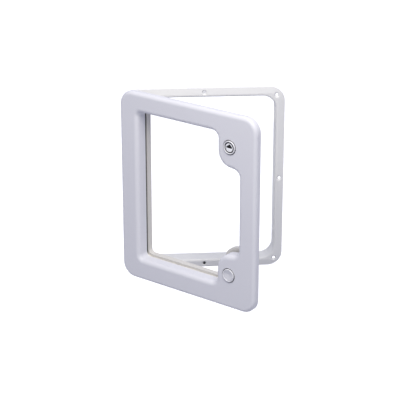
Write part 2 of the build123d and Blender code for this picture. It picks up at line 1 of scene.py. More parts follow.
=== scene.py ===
# %% [markdown]
# # Service door of a caravan's toilet cassette locker
#
# The real object is a white moulded door, part open, in a mounting frame that is screwed to the
# outside of the vehicle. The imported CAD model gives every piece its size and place, so this lesson
# loads it first and only adds what the eye needs: smooth mouldings, real screws and springs, and a
# finish for every surface. Everything is in metres.

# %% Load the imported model
from math import cos, pi, radians, sin, tan

import bmesh
import bpy
from mathutils import Matrix, Vector


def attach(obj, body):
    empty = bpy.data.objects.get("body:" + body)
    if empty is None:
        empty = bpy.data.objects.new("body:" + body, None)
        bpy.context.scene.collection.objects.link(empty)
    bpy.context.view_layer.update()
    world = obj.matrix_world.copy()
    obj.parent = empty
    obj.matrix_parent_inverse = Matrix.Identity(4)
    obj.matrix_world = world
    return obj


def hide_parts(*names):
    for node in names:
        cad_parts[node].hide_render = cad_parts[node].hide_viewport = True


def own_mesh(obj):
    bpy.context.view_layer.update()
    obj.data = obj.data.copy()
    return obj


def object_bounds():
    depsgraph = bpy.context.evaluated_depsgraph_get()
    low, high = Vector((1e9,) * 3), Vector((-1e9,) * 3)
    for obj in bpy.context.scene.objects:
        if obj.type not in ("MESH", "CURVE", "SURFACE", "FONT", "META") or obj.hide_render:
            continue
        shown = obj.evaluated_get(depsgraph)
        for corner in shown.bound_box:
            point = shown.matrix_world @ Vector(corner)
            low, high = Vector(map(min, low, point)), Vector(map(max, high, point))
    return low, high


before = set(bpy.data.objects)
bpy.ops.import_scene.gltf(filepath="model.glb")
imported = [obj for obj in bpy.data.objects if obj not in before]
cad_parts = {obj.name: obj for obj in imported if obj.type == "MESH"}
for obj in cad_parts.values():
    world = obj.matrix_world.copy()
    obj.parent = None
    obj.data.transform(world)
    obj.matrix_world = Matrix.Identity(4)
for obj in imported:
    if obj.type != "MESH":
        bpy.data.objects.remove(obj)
cad_box = [list(corner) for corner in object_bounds()]
print("nodes:", len(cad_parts))

# %% [markdown]
# ## Where the camera stands
#
# The photograph looks down on the door from a little above, through a long lens. One way to place
# the camera is by eye. Here its distance, height and lens come from a fit to the corners of the
# door and of the frame behind it, which gives the perspective as well as the framing. The camera
# is tilted down and its lens isn't shifted, so upright edges lean in by a pixel or two.

# %% Camera
look_at = Vector((-0.01487, -0.090, -0.0080))
camera_distance = 2.6606
camera_azimuth = radians(-4.17)
camera_elevation = radians(20.99)
image_width_px = 400
focal_length_px = 1431.2

camera_data = bpy.data.cameras.new("photo_camera")
camera_data.sensor_width = 36.0
camera_data.lens = focal_length_px / image_width_px * camera_data.sensor_width
camera = bpy.data.objects.new("photo_camera", camera_data)
bpy.context.scene.collection.objects.link(camera)


def direction_to(azimuth, elevation):
    """Unit vector towards a place seen at these angles from the object."""
    level = cos(elevation)
    return Vector((sin(azimuth) * level, -cos(azimuth) * level, sin(elevation)))


back_to_camera = direction_to(camera_azimuth, camera_elevation)
camera.location = look_at + camera_distance * back_to_camera
camera.rotation_euler = back_to_camera.to_track_quat("Z", "Y").to_euler()
camera_data.clip_end = 50.0
bpy.context.scene.camera = camera
print("lens: %.1f mm at %.2f m" % (camera_data.lens, camera_distance))

# %% [markdown]
# ## The door's own space
#
# The door stands 42 degrees open, so its pieces are easier to draw where it is flat. Here x runs
# along the door from its middle, y is the height and z points out of its face. A rotated empty
# could hold the pieces, but the export wants every object unturned. So one matrix, built from the
# hinge and the opening angle, turns such a drawing into the scene's frame.

# %% Door space
MM = 0.001
opening_angle = radians(42.0)
hinge = Vector((-150.0, -12.5, 0.0)) * MM
along = Vector((cos(opening_angle), -sin(opening_angle), 0.0))
up = Vector((0.0, 0.0, 1.0))
outward = Vector((-sin(opening_angle), -cos(opening_angle), 0.0))
middle_from_hinge = 150.0
face_from_hinge = 7.0
face_middle = hinge + along * middle_from_hinge * MM + outward * face_from_hinge * MM
door_space = Matrix.Translation(face_middle) @ Matrix((along, up, outward)).transposed().to_4x4()
lock_x = 99.0 * MM
lock_height = 126.0 * MM
button_height = -121.0 * MM
lock_axis = door_space @ Vector((lock_x, lock_height, 0.0))
print("middle of the door's face: %.3f %.3f %.3f" % tuple(face_middle))

# %% [markdown]
# ## Node trees in plain Python
#
# A finish mixes patterns with arithmetic, and a node for each sum is hard to read. So one small
# class wraps a socket and overloads the operators: an expression on values adds its Math nodes.
# One method makes every other node, in a material or in a geometry tree. It takes the node's type,
# its settings, which are set first, and the values or links of its sockets.

# %% Socket class
class Signal:
    """A number that varies over a surface, held as the socket that carries it."""

    def __init__(self, graph, socket):
        self.graph = graph
        self.socket = socket

    def combine(self, operation, first, second):
        node = self.graph.add("ShaderNodeMath", {"operation": operation}, {0: first, 1: second})
        return Signal(self.graph, node.outputs[0])

    def __add__(self, other):
        return self.combine("ADD", self, other)

    def __radd__(self, other):
        return self.combine("ADD", other, self)

    def __sub__(self, other):
        return self.combine("SUBTRACT", self, other)

    def __rsub__(self, other):
        return self.combine("SUBTRACT", other, self)

    def __mul__(self, other):
        return self.combine("MULTIPLY", self, other)

    def __rmul__(self, other):
        return self.combine("MULTIPLY", other, self)

    def clamped(self, low=0.0, high=1.0):
        return self.combine("MINIMUM", self.combine("MAXIMUM", self, low), high)

    def sine(self):
        return self.combine("SINE", self, 0.0)


print("socket class:", Signal.__name__)


# %% Node tree class
class Graph:
    """A node tree with the one method that makes every node in it."""

    def __init__(self, tree):
        self.tree = tree

    def add(self, kind, settings=None, inputs=None):
        """Make a node: its type, its settings, then the values or links of its sockets."""
        node = self.tree.nodes.new(kind)
        for name, value in (settings or {}).items():
            setattr(node, name, value)
        for name, value in (inputs or {}).items():
            self.feed(node.inputs[name], value)
        return node

    def feed(self, socket, value):
        if isinstance(value, Signal):
            value = value.socket
        if isinstance(value, bpy.types.NodeSocket):
            self.tree.links.new(value, socket)
        else:
            socket.default_value = value


print("tree class:", Graph.__name__)

# %% [markdown]
# ## One class for every finish
#
# Plastic, rubber and metal differ in their patterns, but each is one Principled shader fed by noise
# and by distances. Copied node trees would drift apart, so a second class holds the shader and the
# few patterns they share. All of them read Object coordinates, which move with the piece.


# %% Finish class
class Finish(Graph):
    """A material with one Principled shader and the patterns that the finishes share."""

    def __init__(self, name):
        self.material = bpy.data.materials.new(name)
        self.material.use_nodes = True
        super().__init__(self.material.node_tree)
        self.tree.nodes.clear()
        self.shader = self.add("ShaderNodeBsdfPrincipled")
        self.output = self.add(
            "ShaderNodeOutputMaterial", inputs={"Surface": self.shader.outputs[0]}
        )
        self.place = self.add("ShaderNodeTexCoord").outputs["Object"]

    def set(self, **inputs):
        """Feed the shader's own sockets, named with an underscore for each space."""
        for name, value in inputs.items():
            self.feed(self.shader.inputs[name.replace("_", " ")], value)

    def noise(self, scale, detail=2.0, roughness=0.5):
        """Soft random pattern, with the scale in patches per metre."""
        node = self.add(
            "ShaderNodeTexNoise", {"noise_dimensions": "3D"},
            {"Vector": self.place, "Scale": scale, "Detail": detail, "Roughness": roughness},
        )
        return Signal(self, node.outputs["Fac"])

    def reach(self, start, direction):
        """Distance from a point, measured along one direction, in metres."""
        gap = self.add(
            "ShaderNodeVectorMath", {"operation": "SUBTRACT"}, {0: self.place, 1: tuple(start)}
        )
        node = self.add(
            "ShaderNodeVectorMath", {"operation": "DOT_PRODUCT"},
            {0: gap.outputs["Vector"], 1: tuple(direction)},
        )
        return Signal(self, node.outputs["Value"])

    def radius(self, start, direction):
        """Distance from a line through a point, in metres."""
        gap = self.add(
            "ShaderNodeVectorMath", {"operation": "SUBTRACT"}, {0: self.place, 1: tuple(start)}
        )
        turned = self.add(
            "ShaderNodeVectorMath", {"operation": "CROSS_PRODUCT"},
            {0: gap.outputs["Vector"], 1: tuple(direction)},
        )
        node = self.add(
            "ShaderNodeVectorMath", {"operation": "LENGTH"}, {0: turned.outputs["Vector"]}
        )
        return Signal(self, node.outputs["Value"])

    def blend(self, amount, first, second):
        """Colour between two others, each written down or taken from another blend."""
        pair = [c if isinstance(c, bpy.types.NodeSocket) else (*c, 1.0) for c in (first, second)]
        node = self.add("ShaderNodeMix", {"data_type": "RGBA"}, {0: amount, 6: pair[0], 7: pair[1]})
        return node.outputs[2]

    def relief(self, height):
        """Bump from a height pattern in metres."""
        node = self.add(
            "ShaderNodeBump", inputs={"Height": height, "Distance": 1.0, "Strength": 1.0}
        )
        self.set(Normal=node.outputs["Normal"])


print("finish class:", Finish.__name__)

# %% [markdown]
# ## Finish of the mouldings
#
# The door and its frame are moulded in a cool white plastic with a soft sheen. Up close such a
# skin isn't mirror smooth: it has a fine even grain and slow waves where the wall shrank as it
# cooled. A flat colour would look like paper, so noise at three scales moves the colour, the
# roughness and the bump.

# %% Moulded plastic
clouds_per_metre = 9.0
grains_per_metre = 1400.0
waves_per_metre = 30.0
wave_depth = 0.00002
plastic_ior = 1.42


def moulded_plastic(name, light, deep, roughness, grain_depth):
    """Injection-moulded plastic: a fine grain over slow shrinkage waves."""
    finish = Finish(name)
    cloud = finish.noise(clouds_per_metre, 3.0)
    grain = finish.noise(grains_per_metre, 1.0)
    wave = finish.noise(waves_per_metre, 1.0)
    finish.set(
        Base_Color=finish.blend((cloud * 1.6 - 0.3).clamped(), deep, light),
        Roughness=roughness + (cloud - 0.5) * 0.10 + (grain - 0.5) * 0.06,
        IOR=plastic_ior,
    )
    finish.relief(grain * grain_depth + wave * wave_depth)
    return finish.material


print("moulded plastic waves: %.3f mm deep" % (wave_depth / MM))

# %% [markdown]
# ## Plastics of this door
#
# The door is a bluish white and its frame a neutral one, as the photograph shows. The rear half is
# slightly cream, the bezels and the button are glossier, and the latch parts inside are black or
# natural. Each plastic is one call with its two shades, its roughness and the depth of its grain.

# %% Plastics
door_white = moulded_plastic(
    "door_white", (0.79, 0.79, 0.835), (0.77, 0.77, 0.82), 0.42, 0.0000012
)
frame_white = moulded_plastic(
    "frame_white", (0.82, 0.82, 0.815), (0.80, 0.80, 0.80), 0.44, 0.0000015
)
rear_white = moulded_plastic(
    "rear_white", (0.74, 0.72, 0.68), (0.71, 0.69, 0.655), 0.5, 0.000003
)
ring_white = moulded_plastic(
    "ring_white", (0.84, 0.84, 0.87), (0.81, 0.81, 0.85), 0.26, 0.0000008
)
button_white = moulded_plastic(
    "button_white", (0.76, 0.76, 0.80), (0.74, 0.74, 0.78), 0.3, 0.0000008
)
latch_black = moulded_plastic(
    "latch_black", (0.035, 0.035, 0.04), (0.022, 0.022, 0.026), 0.5, 0.000003
)
bolt_natural = moulded_plastic(
    "bolt_natural", (0.80, 0.79, 0.74), (0.76, 0.75, 0.70), 0.35, 0.000001
)
print("plastics:", door_white.name, frame_white.name, rear_white.name, ring_white.name)
print("more plastics:", button_white.name, latch_black.name, bolt_natural.name)

# %% [markdown]
# ## Rubber
#
# The gasket, the seal and the small rings are rubber: dark, matt and slightly dusty. The photograph
# shows the slot's gasket near black beside the opening, where the slot lies in shade, and pale along
# its lowest run, where light from above reaches into the slot. So the gasket's near-black colour
# also paints the shade in the slot, and a pale colour on its lowest run is painted light. A second
# strip could be drawn there in another colour. The height of a point does it with one piece: below a
# level, the colour turns pale.

# %% Rubber
painted_light_level = (0.0, 0.0, -0.140)
painted_light_per_metre = 180.0
rubber_roughness = 0.78
rubber_ior = 1.3


def rubber(name, light, deep, cell_depth, painted_light_colour=None):
    """Matt cellular rubber, with a pale colour painted as light on its lowest run where one is
    given.
    """
    finish = Finish(name)
    dust = finish.noise(60.0, 4.0, 0.6)
    cells = finish.noise(2200.0, 1.0)
    colour = finish.blend((dust * 1.4 - 0.2).clamped(), deep, light)
    # below a level the colour turns pale: painted light where light from above reaches the slot's
    # lowest run
    if painted_light_colour:
        below = finish.reach(painted_light_level, -up)
        colour = finish.blend((below * painted_light_per_metre + dust * 0.4).clamped(), colour, painted_light_colour)
    finish.set(
        Base_Color=colour, Roughness=rubber_roughness + (dust - 0.5) * 0.2, IOR=rubber_ior
    )
    finish.relief(cells * cell_depth)
    return finish.material


# near-black rubber that also paints the shade in the slot, with painted light on its lowest run
gasket_grey = rubber(
    "gasket_grey", (0.06, 0.06, 0.062), (0.035, 0.035, 0.037), 0.000006, (0.78, 0.76, 0.71)
)
# black for the patch that paints the keyway's shadow and dark reflection
shade_patch_black = rubber("shade_patch_black", (0.012, 0.012, 0.013), (0.006, 0.006, 0.007), 0.000003)
gasket_black = rubber("gasket_black", (0.060, 0.060, 0.064), (0.034, 0.034, 0.037), 0.000006)
seal_grey = rubber("seal_grey", (0.115, 0.115, 0.122), (0.075, 0.075, 0.080), 0.00002)
print("rubbers:", gasket_grey.name, shade_patch_black.name, gasket_black.name, seal_grey.name)

# %% [markdown]
# ## Plated steel
#
# The screws are zinc-plated, and the pins, springs and clips are drawn steel. A plain metallic
# shader would look like a mirror ball, but plating is cloudy and handling leaves fine scratches, so
# noise moves its colour and its roughness and presses a shallow relief.

# %% Plated metal
scratches_per_metre = 2600.0
scratch_depth = 0.000001


def plated_metal(name, light, deep, roughness, cloud_scale):
    """Plated metal: cloudy colour and roughness, with faint drawn scratches."""
    finish = Finish(name)
    cloud = finish.noise(cloud_scale, 3.0, 0.6)
    scratch = finish.noise(scratches_per_metre, 2.0)
    finish.set(
        Base_Color=finish.blend((cloud * 1.5 - 0.25).clamped(), deep, light),
        Metallic=1.0,
        Roughness=roughness + (cloud - 0.5) * 0.12,
    )
    finish.relief(scratch * scratch_depth)
    return finish.material


zinc = plated_metal("zinc", (0.62, 0.62, 0.63), (0.50, 0.50, 0.49), 0.34, 260.0)
drawn_steel = plated_metal("drawn_steel", (0.50, 0.50, 0.51), (0.38, 0.38, 0.39), 0.3, 400.0)
print("metals:", zinc.name, drawn_steel.name)

# %% [markdown]
# ## The lock's chrome
#
# The barrel and the key plug were turned on a lathe and then chromed, so their faces carry fine
# rings round the lock's axis. Below the face, in the keyway and in the gap round the barrel, the
# chrome turns dark and dull as painted shade. The distance from the axis gives the rings, and the
# depth behind the face gives the painted shade, so both stay in place from every side.

# %% Lock chrome
lathe_ring = 0.35 * MM
lathe_depth = 0.0000006
shade_fade_depth = 0.5 * MM
painted_shade_colour = (0.012, 0.012, 0.014)


def turned_chrome(name, shade_start):
    """Chromed turning with rings round the lock's axis and painted shade below its face."""
    finish = Finish(name)
    cloud = finish.noise(300.0, 3.0, 0.6)
    ring = (finish.radius(lock_axis, outward) * (2.0 * pi / lathe_ring)).sine()
    # painted shade: darker, duller and less metallic the deeper a point lies behind the face
    recess_shade = ((finish.reach(lock_axis, -outward) - shade_start) * (1.0 / shade_fade_depth)).clamped()
    metal = finish.blend((cloud * 1.5 - 0.25).clamped(), (0.56, 0.56, 0.58), (0.68, 0.68, 0.70))
    finish.set(
        Base_Color=finish.blend(recess_shade, metal, painted_shade_colour),
        Metallic=1.0 - recess_shade * 0.9,
        Roughness=0.20 + (cloud - 0.5) * 0.10 + recess_shade * 0.35,
    )
    finish.relief(ring * lathe_depth + cloud * 0.000002)
    return finish.material


barrel_chrome = turned_chrome("barrel_chrome", 0.2 * MM)
plug_chrome = turned_chrome("plug_chrome", 0.3 * MM)
print("chromes:", barrel_chrome.name, plug_chrome.name)

# %% [markdown]
# ## Drawing solids from outlines
#
# Most small pieces are either turned round an axis or drawn along a path. Blender's Screw modifier
# and bevelled curves can do both, but a short function that joins rings of points keeps the sizes
# in millimetres and leaves a closed mesh with its faces pointing out.

# %% Piece from rings of points
def make_piece(name, rings, material, closed_path=False, space=None, sharp=40.0):
    """Closed surface through rings of points; the ends run to a point, or meet on a closed path."""
    build = bmesh.new()
    grid = [[build.verts.new(Vector(point) * MM) for point in ring] for ring in rings]
    if closed_path:
        grid.append(grid[0])
    for near, far in zip(grid, grid[1:]):
        for step in range(len(near)):
            after = (step + 1) % len(near)
            build.faces.new((near[step], near[after], far[after], far[step]))
    bmesh.ops.remove_doubles(build, verts=build.verts, dist=0.5e-6)
    bmesh.ops.recalc_face_normals(build, faces=build.faces)
    if space:
        build.transform(space)
    mesh = bpy.data.meshes.new(name)
    build.to_mesh(mesh)
    build.free()
    mesh.shade_smooth()
    mesh.set_sharp_from_angle(angle=radians(sharp))
    mesh.materials.append(material)
    piece = bpy.data.objects.new(name, mesh)
    bpy.context.scene.collection.objects.link(piece)
    return piece


print("piece maker ready, sizes in units of", MM, "m")


# %% Turned piece
def turned(profile, segments=64, shape=None):
    """Rings round the z axis from (radius, height) pairs in millimetres, bent by shape if given."""
    rings = []
    for radius, height in profile:
        ring = []
        for step in range(segments):
            angle = 2.0 * pi * step / segments
            reach, rise = shape(radius, height, angle) if shape else (radius, height)
            ring.append((reach * cos(angle), reach * sin(angle), rise))
        rings.append(ring)
    return rings


print("points in one turned ring:", len(turned([(1.0, 0.0)])[0]))

# %% [markdown]
# ## Pan-head screws
#
# Twelve screws clamp the wall panel between the two halves of the door, and four more hold the
# latch cases. All are the same thread-forming screw: a low domed head with a cross recess and a
# coarse thread. One screw is turned first. Its recess is pressed in by lowering the points that
# lie in a cross, and its thread by moving the rings in and out with their angle.

# %% One screw
head_radius = 2.85
head_height = 1.9
recess_reach = 1.9
recess_half_width = 0.45
recess_depth = 1.3
thread_pitch = 1.35
thread_depth = 0.18
shank_radius = 1.23
shank_length = 26.0
shank_step = 0.16


def screw_shape(radius, height, angle):
    """Cross recess in the top of the head, and a helical thread on the shank."""
    if height > 0.0:
        across = min(abs(radius * cos(angle)), abs(radius * sin(angle)))
        inside = radius < recess_reach and across < recess_half_width
        return radius, height - recess_depth * (1.0 - radius / recess_reach * 0.5) * inside
    if radius > 0.1 and height < -1.0:
        wave = cos(angle - 2.0 * pi * height / thread_pitch)
        return radius - thread_depth + thread_depth * max(wave, -0.2), height
    return radius, height


screw_profile = [(0.0, head_height)]
screw_profile += [(0.1 * step, head_height - 0.0025 * step * step) for step in range(1, 22)]
screw_profile += [(2.35, 1.55), (2.6, 1.25), (2.8, 0.85)]
screw_profile += [(head_radius, 0.4), (head_radius, 0.05), (2.75, 0.0), (shank_radius, 0.0)]
screw_profile += [
    (shank_radius, -shank_step * step) for step in range(1, int(shank_length / shank_step))
]
screw_profile += [(0.0, -shank_length - 0.6)]
screw_stamp = make_piece("screw_stamp", turned(screw_profile, 40, screw_shape), zinc)
print("screw faces:", len(screw_stamp.data.polygons))

# %% [markdown]
# ## A node tree that sets the screws
#
# Copying the screw by hand sixteen times would leave sixteen objects to keep in step. A geometry
# tree puts one copy on each of a few points instead, and turns each by its own random angle, as
# screws end up when they are driven. Realize Instances makes the copies real, and the finished
# mesh is then taken from the evaluated object, because the export knows no instances.

# %% Stamp tree
def stamp_on_points(name, points, stamp, turn, seed, material):
    """One mesh that holds a copy of the stamp at each point, turned to face along z of turn."""
    carrier_mesh = bpy.data.meshes.new(name + "_points")
    carrier_mesh.from_pydata([tuple(point) for point in points], [], [])
    carrier = bpy.data.objects.new(name, carrier_mesh)
    bpy.context.scene.collection.objects.link(carrier)

    tree = bpy.data.node_groups.new(name + "_tree", "GeometryNodeTree")
    identifiers = {}
    for label, kind in (
        ("Points", "Geometry"), ("Stamp", "Object"), ("Facing", "Vector"), ("Seed", "Int"),
        ("Finish", "Material"),
    ):
        given_socket = tree.interface.new_socket(
            label, in_out="INPUT", socket_type="NodeSocket" + kind
        )
        identifiers[label] = given_socket.identifier
    tree.interface.new_socket("Copies", in_out="OUTPUT", socket_type="NodeSocketGeometry")

    graph = Graph(tree)
    given = graph.add("NodeGroupInput").outputs
    shape = graph.add("GeometryNodeObjectInfo", inputs={"Object": given["Stamp"]})
    facing = graph.add("FunctionNodeEulerToRotation", inputs={0: given["Facing"]})
    copies = graph.add(
        "GeometryNodeInstanceOnPoints",
        inputs={
            "Points": given["Points"], "Instance": shape.outputs["Geometry"],
            "Rotation": facing.outputs["Rotation"],
        },
    )
    spin = graph.add(
        "FunctionNodeRandomValue", {"data_type": "FLOAT_VECTOR"},
        {"Min": (0.0, 0.0, 0.0), "Max": (0.0, 0.0, 2.0 * pi), "Seed": given["Seed"]},
    )
    spun = graph.add(
        "GeometryNodeRotateInstances",
        inputs={"Instances": copies.outputs["Instances"], "Rotation": spin.outputs["Value"]},
    )
    solid = graph.add(
        "GeometryNodeRealizeInstances", inputs={"Geometry": spun.outputs["Instances"]}
    )
    coated = graph.add(
        "GeometryNodeSetMaterial",
        inputs={"Geometry": solid.outputs["Geometry"], "Material": given["Finish"]},
    )
    graph.add("NodeGroupOutput", inputs={"Copies": coated.outputs["Geometry"]})

    modifier = carrier.modifiers.new("copies", "NODES")
    modifier.node_group = tree
    modifier[identifiers["Stamp"]] = stamp
    modifier[identifiers["Facing"]] = tuple(turn.to_euler())
    modifier[identifiers["Seed"]] = seed
    modifier[identifiers["Finish"]] = material
    evaluated = bpy.context.evaluated_depsgraph_get()
    mesh = bpy.data.meshes.new_from_object(
        carrier.evaluated_get(evaluated), preserve_all_data_layers=True, depsgraph=evaluated
    )
    carrier.modifiers.clear()
    carrier.data = mesh
    print(name, "copies:", len(points), "faces:", len(mesh.polygons))
    return carrier


print("stamp tree ready for", screw_stamp.name)

# %% [markdown]
# ## Where the screws sit
#
# Three screws on each side of the rear half clamp the panel, with their heads sunk in bosses, and
# two hold each latch case on the inside of an ear. The places are those of the holes in the CAD
# model. Reading them from its mesh would be possible, but a short list is easier to follow.

# %% Set the screws
clamp_seat = -38.9
latch_seat = -29.0
clamp_places = [(x, z) for z in (156.25, -156.25) for x in (-95.0, 0.0, 95.0)]
clamp_places += [(x, z) for x in (126.25, -126.25) for z in (-75.0, 0.0, 75.0)]
latch_places = [(88.0, 110.0), (118.0, 142.0), (88.0, -105.0), (118.0, -137.0)]
facing_back = door_space.to_3x3() @ Matrix.Rotation(pi, 3, "X")
clamp_screws = stamp_on_points(
    "clamp_screws", [door_space @ (Vector((x, z, clamp_seat)) * MM) for x, z in clamp_places],
    screw_stamp, facing_back, 4, zinc,
)
latch_screws = stamp_on_points(
    "latch_screws", [door_space @ (Vector((x, z, latch_seat)) * MM) for x, z in latch_places],
    screw_stamp, facing_back, 9, zinc,
)
bpy.data.objects.remove(screw_stamp)
for piece, node in ((clamp_screws, "rear_screws"), (latch_screws, "case_screws")):
    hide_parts(node)
    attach(piece, "door")

# %% [markdown]
# ## Latch springs
#
# A small spring pushes each bolt out. A real compression spring has closed ends: its first and
# last turns lie against each other so that it stands square. A spiral node makes even turns only,
# so the coil is drawn as a curve whose pitch eases in and out, and its bevel gives the wire.

# %% Springs
spring_start = 82.8
spring_length = 10.7
spring_radius = 2.6
spring_depth = -29.5
wire_radius = 0.4
spring_turns = 6
steps_per_turn = 20


def coil_points(height):
    """Points of a coil with closed ends, which lies along the door at this height."""
    points = []
    for step in range(spring_turns * steps_per_turn + 1):
        share = step / (spring_turns * steps_per_turn)
        eased = share * share * (3.0 - 2.0 * share)
        angle = 2.0 * pi * share * spring_turns
        points.append(door_space @ (Vector((
            spring_start + wire_radius + eased * (spring_length - 2.0 * wire_radius),
            height + spring_radius * cos(angle),
            spring_depth + spring_radius * sin(angle),
        )) * MM))
    return points


def wire_piece(name, points, radius, material):
    """Round wire along a line of points, as a plain mesh."""
    curve = bpy.data.curves.new(name, "CURVE")
    curve.dimensions = "3D"
    curve.bevel_depth = radius * MM
    curve.bevel_resolution = 3
    curve.use_fill_caps = True
    spline = curve.splines.new("POLY")
    spline.points.add(len(points) - 1)
    for point, place in zip(spline.points, points):
        point.co = (*place, 1.0)
    drawn = bpy.data.objects.new(name + "_curve", curve)
    bpy.context.scene.collection.objects.link(drawn)
    evaluated = bpy.context.evaluated_depsgraph_get()
    mesh = bpy.data.meshes.new_from_object(drawn.evaluated_get(evaluated))
    bpy.data.objects.remove(drawn)
    mesh.shade_smooth()
    mesh.materials.clear()
    mesh.materials.append(material)
    piece = bpy.data.objects.new(name, mesh)
    bpy.context.scene.collection.objects.link(piece)
    return piece


print("coil points:", len(coil_points(0.0)))

# %% Fit the springs
for name, height in (("upper_latch", lock_height / MM), ("lower_latch", button_height / MM)):
    spring = wire_piece(name + "_coil", coil_points(height), wire_radius, drawn_steel)
    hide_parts(name + "_spring")
    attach(spring, "door")
    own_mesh(spring)
print("spring turns:", spring_turns)

# %% [markdown]
# ## Outlines with rounded corners
#
# The gasket and the weather seal are rubber strips that follow the door's outlines. Each outline
# is a few corners with a radius. The function below rounds them and keeps, for every point, the
# direction that leads away from the opening, so that a strip's profile can stand off the outline
# by an exact distance, also in the two ears where the corners turn the other way.

# %% Rounded outline
def rounded_outline(corners, steps=10):
    """Points and outward directions of a closed outline through (x, y, radius) corners."""
    places, directions = [], []
    count = len(corners)
    for index in range(count):
        here = Vector(corners[index][:2])
        to_last = (Vector(corners[index - 1][:2]) - here).normalized()
        to_next = (Vector(corners[(index + 1) % count][:2]) - here).normalized()
        radius = corners[index][2]
        half = to_last.angle(to_next) / 2.0
        centre = here + (to_last + to_next).normalized() * radius / sin(half)
        first = here + to_last * radius / tan(half) - centre
        last = here + to_next * radius / tan(half) - centre
        turn = first.angle_signed(last)
        left_hand = 1.0 if to_last.cross(to_next) < 0.0 else -1.0
        for step in range(steps + 1):
            arm = first.copy()
            arm.rotate(Matrix.Rotation(-turn * step / steps, 2))
            places.append(centre + arm)
            directions.append(arm.normalized() * -left_hand)
    return places, directions


def strip(name, outline, profile, material):
    """Rubber strip: a closed profile of (distance from the outline, height) drawn round it."""
    rings = [
        [(*(place + direction * reach), rise) for reach, rise in profile]
        for place, direction in zip(*outline)
    ]
    return make_piece(name, rings, material, closed_path=True, space=door_space, sharp=50.0)


print("points round a square outline:", len(rounded_outline(
    [(-1.0, 1.0, 0.5), (1.0, 1.0, 0.5), (1.0, -1.0, 0.5), (-1.0, -1.0, 0.5)])[0]))

# %% [markdown]
# ## Panel gasket
#
# The wall panel slides into the slot between the two halves of the door, against a rubber gasket
# at the slot's bottom. Such a gasket is extruded, with lips that fold when the panel is pushed
# home. The lips are what shows in the slot. A swept curve could carry the profile, but it twists in
# the ears, so the profile is set at right angles to the outline at each point.

# %% Gasket
panel_corners = [
    (-115.0, 149.4, 9.0), (71.0, 149.4, 13.0), (71.0, 89.4, 30.0), (119.0, 83.4, 14.0),
    (119.0, -80.0, 14.0), (71.0, -86.0, 30.0), (71.0, -145.0, 13.0), (-115.0, -145.0, 9.0),
]
gasket_profile = [
    (2.75, -24.2), (2.2, -24.2), (1.6, -24.5), (1.5, -24.9), (2.1, -25.4), (1.6, -26.1),
    (1.5, -26.5), (1.7, -26.8), (2.1, -27.4), (1.6, -27.9), (1.5, -28.3), (2.2, -28.6),
    (2.75, -28.6),
]
gasket = strip("slot_gasket", rounded_outline(panel_corners), gasket_profile, gasket_grey)
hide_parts("panel_gasket")
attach(gasket, "door")
print("gasket faces:", len(gasket.data.polygons))

# %% [markdown]
# ## Weather seal
#
# A second strip runs round the core of the door and meets the flange when the door is shut. It is
# a soft foamed rubber with a flat glued back and two round bulbs, and it shows from behind. The
# outline function draws it too, with its own profile.

# %% Seal
seal_half_width = 130.0
seal_half_height = 160.0
seal_corners = [
    (x * seal_half_width, y * seal_half_height, 21.0)
    for x, y in ((-1.0, 1.0), (1.0, 1.0), (1.0, -1.0), (-1.0, -1.0))
]
bulb = [
    (cos(radians(angle)) * 2.1, -sin(radians(angle)) * 2.0) for angle in range(0, 181, 20)
]
seal_profile = [(0.2, -10.7), (0.2, -12.0)]
seal_profile += [(2.4 - x, -12.1 + z) for x, z in bulb]
seal_profile += [(6.6 - x, -12.1 + z) for x, z in bulb]
seal_profile += [(8.8, -12.0), (8.8, -10.7)]
seal = strip("bulb_seal", rounded_outline(seal_corners), seal_profile, seal_grey)
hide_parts("door_seal")
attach(seal, "door")
print("seal faces:", len(seal.data.polygons))

# %% [markdown]
# ## Bezels of the lock and the button
#
# Each bezel is one turned moulding: a foot that lies flush in the door, a narrow groove, a rounded
# ring round the button and the tube that guides it. The solids have the ring and the tube, with an
# open gap round them. The photograph shows a thin dark circle there, so the dressed bezel fills the
# gap but for the groove, and a black rubber ring deep in the groove darkens it as painted shade.

# %% Bezels
bezel_profile = [
    (10.15, -14.0), (12.0, -14.0), (12.0, -1.5), (14.2, -1.5), (14.2, -0.15), (14.05, 0.0),
    (13.9, 0.0), (13.75, -0.15), (13.75, -1.2), (12.4, -1.2), (12.4, 0.9), (12.3, 1.3),
    (12.05, 1.7), (11.7, 1.92), (11.35, 2.0), (11.0, 1.95), (10.6, 1.7), (10.3, 1.3),
    (10.15, 0.9),
]
groove_radius = 13.07
shade_ring_wire = 0.6
ring_profile = [
    (groove_radius + shade_ring_wire * cos(radians(angle)), shade_ring_wire * (sin(radians(angle)) - 1.0))
    for angle in range(0, 360, 30)
]
for name, height in (("lock", lock_height), ("button", button_height)):
    spot = door_space @ Matrix.Translation((lock_x, height, 0.0))
    bezel = make_piece(name + "_bezel_ring", turned(bezel_profile, 96), ring_white, True, spot)
    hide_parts(name + "_bezel")
    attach(bezel, "door")
    # black ring deep in the groove: painted shade of the thin dark circle round the bezel
    groove_shade_ring = make_piece(
        name + "_sealing_ring", turned(ring_profile, 72), gasket_black, True, spot
    )
    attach(groove_shade_ring, "door")
print("bezel points:", len(bezel_profile) * 96)

# %% [markdown]
# ## Dark ring round the barrel and keyway shade patch
#
# A soft black ring round the lock barrel's rim darkens the gap there into a second dark ring:
# painted shade. On the face of the plug a black patch round the keyway, reaching up above it, paints
# the keyway's shadow and the dark reflection in the plug's upper half. Both could be painted on the
# chrome as masks, but pieces keep their edges from every side.

# %% Lock details
lock_spot = door_space @ Matrix.Translation((lock_x, lock_height, 0.0))
gap_shade_profile = [
    (9.05, -0.9), (9.9, -0.9), (9.9, 0.9), (9.6, 1.25), (9.1, 1.4), (8.3, 1.35), (7.9, 1.05),
    (9.05, 0.9),
]
# black ring at the barrel's rim: painted shade of the gap round the barrel
gap_shade_ring = make_piece("lock_wiper", turned(gap_shade_profile, 72), gasket_black, True, lock_spot)
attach(gap_shade_ring, "upper_button")

